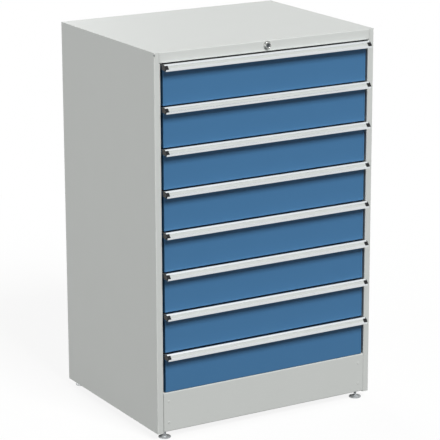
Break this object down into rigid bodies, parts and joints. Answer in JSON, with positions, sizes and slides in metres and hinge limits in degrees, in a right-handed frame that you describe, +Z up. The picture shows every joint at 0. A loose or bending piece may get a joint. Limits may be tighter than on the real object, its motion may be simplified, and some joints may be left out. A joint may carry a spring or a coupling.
{
  "type": "drawer cabinet",
  "caption": "Free-standing steel workshop cabinet with equal full-width drawers, aluminium grip rails, a closed plinth, levelling feet and a central lock.",
  "frame": {"origin": "on the floor, in the middle of the rectangle the cabinet covers with its grips", "axes": "+Z up, -Y the way the drawers open, +X to the right seen from the front"},
  "size_m": [0.76, 0.619, 1.182],
  "materials": {
    "housing_paint": "fine-textured powder coat, light grey",
    "drawer_paint": "fine-textured powder coat, blue",
    "tray_paint": "powder coat, light grey",
    "handle_aluminium": "drawn and anodised, satin",
    "cap_plastic": "moulded, black",
    "runner_zinc": "bright zinc plated",
    "inner_zinc": "galvanised",
    "rod_zinc": "turned, zinc plated",
    "foot_zinc": "pressed, zinc plated",
    "lock_nickel": "satin nickel plated"
  },
  "bodies": {
    "cabinet": {"right_side_panel": "housing_paint", "left_side_panel": "housing_paint", "top_panel": "housing_paint", "back_panel": "housing_paint", "base_panel": "housing_paint", "plinth_panel": "housing_paint", "uprights": "inner_zinc", "cabinet_rails": "runner_zinc", "lock_housing": "lock_nickel", "lock_nut": "inner_zinc", "rod_bracket": "inner_zinc", "bar_guide_studs": "rod_zinc"},
    "lock_rotor": {"lock_plug": "lock_nickel", "lock_rod": "rod_zinc"},
    "locking_bar": {"locking_bar": "inner_zinc"},
    "foot_front_left": {"levelling_foot_front_left": "foot_zinc"},
    "foot_front_right": {"levelling_foot_front_right": "foot_zinc"},
    "foot_rear_left": {"levelling_foot_rear_left": "foot_zinc"},
    "foot_rear_right": {"levelling_foot_rear_right": "foot_zinc"},
    "drawer_1": {"drawer_1_box": "tray_paint", "drawer_1_front": "drawer_paint", "drawer_1_handle": "handle_aluminium", "drawer_1_end_caps": "cap_plastic"},
    "middle_rails_1": {"drawer_1_middle_rails": "runner_zinc"},
    "drawer_2": {"drawer_2_box": "tray_paint", "drawer_2_front": "drawer_paint", "drawer_2_handle": "handle_aluminium", "drawer_2_end_caps": "cap_plastic"},
    "middle_rails_2": {"drawer_2_middle_rails": "runner_zinc"},
    "drawer_3": {"drawer_3_box": "tray_paint", "drawer_3_front": "drawer_paint", "drawer_3_handle": "handle_aluminium", "drawer_3_end_caps": "cap_plastic"},
    "middle_rails_3": {"drawer_3_middle_rails": "runner_zinc"},
    "drawer_4": {"drawer_4_box": "tray_paint", "drawer_4_front": "drawer_paint", "drawer_4_handle": "handle_aluminium", "drawer_4_end_caps": "cap_plastic"},
    "middle_rails_4": {"drawer_4_middle_rails": "runner_zinc"},
    "drawer_5": {"drawer_5_box": "tray_paint", "drawer_5_front": "drawer_paint", "drawer_5_handle": "handle_aluminium", "drawer_5_end_caps": "cap_plastic"},
    "middle_rails_5": {"drawer_5_middle_rails": "runner_zinc"},
    "drawer_6": {"drawer_6_box": "tray_paint", "drawer_6_front": "drawer_paint", "drawer_6_handle": "handle_aluminium", "drawer_6_end_caps": "cap_plastic"},
    "middle_rails_6": {"drawer_6_middle_rails": "runner_zinc"},
    "drawer_7": {"drawer_7_box": "tray_paint", "drawer_7_front": "drawer_paint", "drawer_7_handle": "handle_aluminium", "drawer_7_end_caps": "cap_plastic"},
    "middle_rails_7": {"drawer_7_middle_rails": "runner_zinc"},
    "drawer_8": {"drawer_8_box": "tray_paint", "drawer_8_front": "drawer_paint", "drawer_8_handle": "handle_aluminium", "drawer_8_end_caps": "cap_plastic"},
    "middle_rails_8": {"drawer_8_middle_rails": "runner_zinc"}
  },
  "joints": [
    {"name": "drawer_1_slide", "type": "slide", "parent": "cabinet", "child": "drawer_1", "axis": [0, -1, 0], "range_m": [0, 0.52]},
    {"name": "middle_rails_1_slide", "type": "slide", "parent": "cabinet", "child": "middle_rails_1", "axis": [0, -1, 0], "range_m": [0, 0.26]},
    {"name": "drawer_2_slide", "type": "slide", "parent": "cabinet", "child": "drawer_2", "axis": [0, -1, 0], "range_m": [0, 0.52]},
    {"name": "middle_rails_2_slide", "type": "slide", "parent": "cabinet", "child": "middle_rails_2", "axis": [0, -1, 0], "range_m": [0, 0.26]},
    {"name": "drawer_3_slide", "type": "slide", "parent": "cabinet", "child": "drawer_3", "axis": [0, -1, 0], "range_m": [0, 0.52]},
    {"name": "middle_rails_3_slide", "type": "slide", "parent": "cabinet", "child": "middle_rails_3", "axis": [0, -1, 0], "range_m": [0, 0.26]},
    {"name": "drawer_4_slide", "type": "slide", "parent": "cabinet", "child": "drawer_4", "axis": [0, -1, 0], "range_m": [0, 0.52]},
    {"name": "middle_rails_4_slide", "type": "slide", "parent": "cabinet", "child": "middle_rails_4", "axis": [0, -1, 0], "range_m": [0, 0.26]},
    {"name": "drawer_5_slide", "type": "slide", "parent": "cabinet", "child": "drawer_5", "axis": [0, -1, 0], "range_m": [0, 0.52]},
    {"name": "middle_rails_5_slide", "type": "slide", "parent": "cabinet", "child": "middle_rails_5", "axis": [0, -1, 0], "range_m": [0, 0.26]},
    {"name": "drawer_6_slide", "type": "slide", "parent": "cabinet", "child": "drawer_6", "axis": [0, -1, 0], "range_m": [0, 0.52]},
    {"name": "middle_rails_6_slide", "type": "slide", "parent": "cabinet", "child": "middle_rails_6", "axis": [0, -1, 0], "range_m": [0, 0.26]},
    {"name": "drawer_7_slide", "type": "slide", "parent": "cabinet", "child": "drawer_7", "axis": [0, -1, 0], "range_m": [0, 0.52]},
    {"name": "middle_rails_7_slide", "type": "slide", "parent": "cabinet", "child": "middle_rails_7", "axis": [0, -1, 0], "range_m": [0, 0.26]},
    {"name": "drawer_8_slide", "type": "slide", "parent": "cabinet", "child": "drawer_8", "axis": [0, -1, 0], "range_m": [0, 0.52]},
    {"name": "middle_rails_8_slide", "type": "slide", "parent": "cabinet", "child": "middle_rails_8", "axis": [0, -1, 0], "range_m": [0, 0.26]},
    {"name": "lock_turn", "type": "hinge", "parent": "cabinet", "child": "lock_rotor", "pos_m": [0, -0.2835, 1.168], "axis": [0, 1, 0], "range_deg": [0, 90]},
    {"name": "locking_bar_lift", "type": "slide", "parent": "cabinet", "child": "locking_bar", "axis": [0, 0, 1], "range_m": [0, 0.01202]},
    {"name": "foot_front_left_turn", "type": "hinge", "parent": "cabinet", "child": "foot_front_left", "pos_m": [-0.345, -0.2615, 0.021], "axis": [0, 0, 1], "continuous": true},
    {"name": "foot_front_right_turn", "type": "hinge", "parent": "cabinet", "child": "foot_front_right", "pos_m": [0.345, -0.2615, 0.021], "axis": [0, 0, 1], "continuous": true},
    {"name": "foot_rear_left_turn", "type": "hinge", "parent": "cabinet", "child": "foot_rear_left", "pos_m": [-0.345, 0.2875, 0.021], "axis": [0, 0, 1], "continuous": true},
    {"name": "foot_rear_right_turn", "type": "hinge", "parent": "cabinet", "child": "foot_rear_right", "pos_m": [0.345, 0.2875, 0.021], "axis": [0, 0, 1], "continuous": true}
  ],
  "couplings": [
    {"joint": "middle_rails_1_slide", "follows": "drawer_1_slide", "ratio": 0.5},
    {"joint": "middle_rails_2_slide", "follows": "drawer_2_slide", "ratio": 0.5},
    {"joint": "middle_rails_3_slide", "follows": "drawer_3_slide", "ratio": 0.5},
    {"joint": "middle_rails_4_slide", "follows": "drawer_4_slide", "ratio": 0.5},
    {"joint": "middle_rails_5_slide", "follows": "drawer_5_slide", "ratio": 0.5},
    {"joint": "middle_rails_6_slide", "follows": "drawer_6_slide", "ratio": 0.5},
    {"joint": "middle_rails_7_slide", "follows": "drawer_7_slide", "ratio": 0.5},
    {"joint": "middle_rails_8_slide", "follows": "drawer_8_slide", "ratio": 0.5},
    {"joint": "lock_turn", "follows": "locking_bar_lift", "rad_per_m": 130.67}
  ]
}
